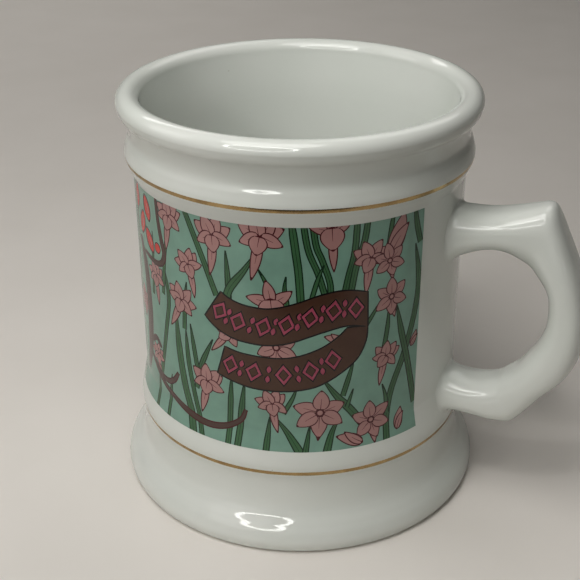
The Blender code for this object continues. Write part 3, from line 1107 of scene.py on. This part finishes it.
studio = {
    "ringAzimuth": -26.0,  # degrees from the camera's side, left is negative
    "ringElevation": 42.0,
    "ringDistance": 650.0,  # mm
    "ringR": 205.0,
    "ringBand": 34.0,
    "ringStrength": 10.5,
    # soft lamps: (name, azimuth, elevation, distance in mm, size in mm, watts)
    "softLamps": [
        ("frontLamp", -40.0, 30.0, 1100.0, 700.0, 0.9),
        ("highLamp", -30.0, 70.0, 300.0, 200.0, 0.34),
        ("sideLamp", -90.0, 35.0, 400.0, 200.0, 0.12),
        ("backLamp", 150.0, 50.0, 1100.0, 700.0, 1.2),
        ("sparkLamp", 48.5, 6.0, 1500.0, 34.0, 0.08),
    ],
    # a lamp over the table behind the mug, turned away from it, in mm and watts
    "farLamp": {
        "azimuth": 206.0,
        "out": 600.0,
        "height": 520.0,
        "aimOut": 800.0,
        "size": 400.0,
        "watts": 0.95,
    },
    # a black sheet just over the table, which only reflections and bounced light see: painted shade standing
    # in for the dark, shaded room in front of the mug, so the gold and glaze reflect darkness there; its
    # near and far edges, half their widths, and its height, in mm
    "cardNear": 120.0,
    "cardFar": 560.0,
    "cardNearHalf": 75.0,
    "cardFarHalf": 230.0,
    "cardHeight": 12.0,
    "lampTone": "#fffdfa",  # slightly warm room light
    "worldTone": "#fff6ea",
    "worldStrength": 0.02,
}
cameraPlace = {
    "azimuth": 22.5,
    "out": 237.1,
    "height": 167.0,
    "lookDown": 27.24,
    "yaw": -0.58,
    "roll": -0.355,
    "lens": 67.73,
}


def turnedTo(azimuth, elevation):
    # unit direction from the mug towards an azimuth and an elevation, in degrees
    a, e = math.radians(azimuth), math.radians(elevation)
    return Vector((math.sin(a) * math.cos(e), -math.cos(a) * math.cos(e), math.sin(e)))


def addCamera():
    c = cameraPlace
    camera = bpy.data.objects.new("camera", bpy.data.cameras.new("camera"))
    camera.data.lens = c["lens"]
    camera.data.clip_start = 10 * mm
    camera.data.clip_end = 20.0
    camera.data.dof.use_dof = False
    place = Vector((axisX, 0, c["height"] * mm)) + turnedTo(c["azimuth"], 0) * c["out"] * mm
    turn = (
        Matrix.Rotation(math.radians(c["azimuth"] - c["yaw"]), 4, "Z")
        @ Matrix.Rotation(math.radians(90 - c["lookDown"]), 4, "X")
        @ Matrix.Rotation(math.radians(c["roll"]), 4, "Z")
    )
    camera.matrix_world = Matrix.Translation(place) @ turn
    bpy.context.scene.collection.objects.link(camera)
    bpy.context.scene.camera = camera


def addLamp(name, place, target, power, size):
    lamp = bpy.data.lights.new(name, "AREA")
    lamp.shape = "DISK"
    lamp.size = size * mm
    lamp.energy = power
    lamp.color = linear(studio["lampTone"])[:3]
    lampObject = bpy.data.objects.new(name, lamp)
    lampObject.location = place
    lampObject.rotation_euler = (target - place).to_track_quat("-Z", "Y").to_euler()
    lampObject.visible_camera = False
    bpy.context.scene.collection.objects.link(lampObject)
    return lampObject


def addRingLamp(centre, aim):
    # a flat ring that shines, and that only reflections and shading see
    s = studio
    side = aim.cross(Vector((0, 0, 1))).normalized()
    up = side.cross(aim)
    points, faces = [], []
    steps = 64
    for k in range(steps):
        angle = 2 * math.pi * k / steps
        spoke = math.cos(angle) * side + math.sin(angle) * up
        points += [centre + spoke * (s["ringR"] + share * s["ringBand"]) * mm for share in (-0.5, 0.5)]
        faces.append((2 * k, 2 * k + 1, (2 * k + 3) % (2 * steps), (2 * k + 2) % (2 * steps)))
    mesh = bpy.data.meshes.new("ringLamp")
    mesh.from_pydata(points, [], faces)
    material = bpy.data.materials.new("lampTube")
    material.use_nodes = True
    tree = material.node_tree
    tree.nodes.remove(tree.nodes["Principled BSDF"])
    shine = {"Color": linear(s["lampTone"]), "Strength": s["ringStrength"]}
    glow = addNode(tree, "ShaderNodeEmission", inputs=shine)
    tree.links.new(glow.outputs["Emission"], tree.nodes["Material Output"].inputs["Surface"])
    mesh.materials.append(material)
    lamp = bpy.data.objects.new("ringLamp", mesh)
    lamp.visible_camera = False
    bpy.context.scene.collection.objects.link(lamp)


def lightStudio():
    s = studio
    middle = Vector((axisX, 0.0, 0.5 * mugTop * mm))
    aim = turnedTo(cameraPlace["azimuth"] + s["ringAzimuth"], s["ringElevation"])
    addRingLamp(middle + aim * s["ringDistance"] * mm, aim)
    for name, azimuth, elevation, distance, size, watts in s["softLamps"]:
        toLamp = turnedTo(cameraPlace["azimuth"] + azimuth, elevation)
        addLamp(name, middle + toLamp * distance * mm, middle, watts, size)
    far = s["farLamp"]
    foot = Vector((axisX, 0.0, 0.0))
    away = turnedTo(cameraPlace["azimuth"] + far["azimuth"], 0.0)
    farPlace = foot + (away * far["out"] + Vector((0.0, 0.0, far["height"]))) * mm
    addLamp("farLamp", farPlace, foot + away * far["aimOut"] * mm, far["watts"], far["size"])
    world = bpy.data.worlds.new("studio")
    world.use_nodes = True
    back = world.node_tree.nodes["Background"]
    back.inputs["Color"].default_value = linear(s["worldTone"])
    back.inputs["Strength"].default_value = s["worldStrength"]
    bpy.context.scene.world = world
    view = bpy.context.scene.view_settings
    view.view_transform = "Standard"
    view.look = "Medium High Contrast"


paintedShadeSheet = {"light": "#1a1a1a", "dark": "#121212", "blotch": 3.0, "roughness": 0.9}  # spacing of the blotches in mm; the sheet's black is painted shade, seen only in reflections and bounced light


# painted shade: a black sheet in front of the mug that camera and shadow rays pass through, so that only the
# reflections in the gold and glaze and the bounced light turn dark there
def addPaintedShadeCard():
    s = studio
    ahead = turnedTo(cameraPlace["azimuth"], 0.0)
    side = ahead.cross(Vector((0.0, 0.0, 1.0)))
    foot = Vector((axisX, 0.0, s["cardHeight"] * mm))
    corners = []
    for out, half in ((s["cardNear"], s["cardNearHalf"]), (s["cardFar"], s["cardFarHalf"])):
        corners += [foot + (ahead * out + side * half) * mm, foot + (ahead * out - side * half) * mm]
    mesh = bpy.data.meshes.new("paintedShadeCard")
    mesh.from_pydata(corners, [], [(0, 1, 3, 2)])
    material, tree, shader, place = startMaterial("paintedShadeSheet")
    blotch = addNode(
        tree, "ShaderNodeTexNoise", inputs={"Vector": place, "Scale": perMetre(paintedShadeSheet["blotch"])}
    )
    tone = addNode(
        tree,
        "ShaderNodeMixRGB",
        inputs={
            "Fac": blotch.outputs["Fac"],
            "Color1": linear(paintedShadeSheet["dark"]),
            "Color2": linear(paintedShadeSheet["light"]),
        },
    )
    tree.links.new(tone.outputs["Color"], shader.inputs["Base Color"])
    shader.inputs["Roughness"].default_value = paintedShadeSheet["roughness"]
    mesh.materials.append(material)
    card = bpy.data.objects.new("paintedShadeCard", mesh)
    card.visible_camera = False
    card.visible_shadow = False
    bpy.context.scene.collection.objects.link(card)


laminate = {"light": "#e8e4df", "dark": "#e0dcd6", "cloud": 40.0, "roughness": 0.6}  # cloud in mm
floorShape = {"radius": 4.0, "sides": 64}  # radius in metres


def addFloor():
    mesh = bpy.data.meshes.new("floor")
    sides, radius = floorShape["sides"], floorShape["radius"]
    turn = 2 * math.pi * np.arange(sides) / sides
    ring = [(radius * math.cos(a), radius * math.sin(a), 0.0) for a in turn]
    mesh.from_pydata(ring, [], [tuple(range(sides))])
    floor = bpy.data.objects.new("floor", mesh)
    material, tree, shader, place = startMaterial("matteLaminate")
    cloud = addNode(
        tree,
        "ShaderNodeTexNoise",
        inputs={"Vector": place, "Scale": perMetre(laminate["cloud"]), "Detail": 3.0},
    )
    tone = addNode(
        tree,
        "ShaderNodeMixRGB",
        inputs={
            "Fac": cloud.outputs["Fac"],
            "Color1": linear(laminate["light"]),
            "Color2": linear(laminate["dark"]),
        },
    )
    tree.links.new(tone.outputs["Color"], shader.inputs["Base Color"])
    shader.inputs["Roughness"].default_value = laminate["roughness"]
    mesh.materials.append(material)
    bpy.context.scene.collection.objects.link(floor)


addCamera()
lightStudio()
addFloor()
addPaintedShadeCard()
print("studio set")
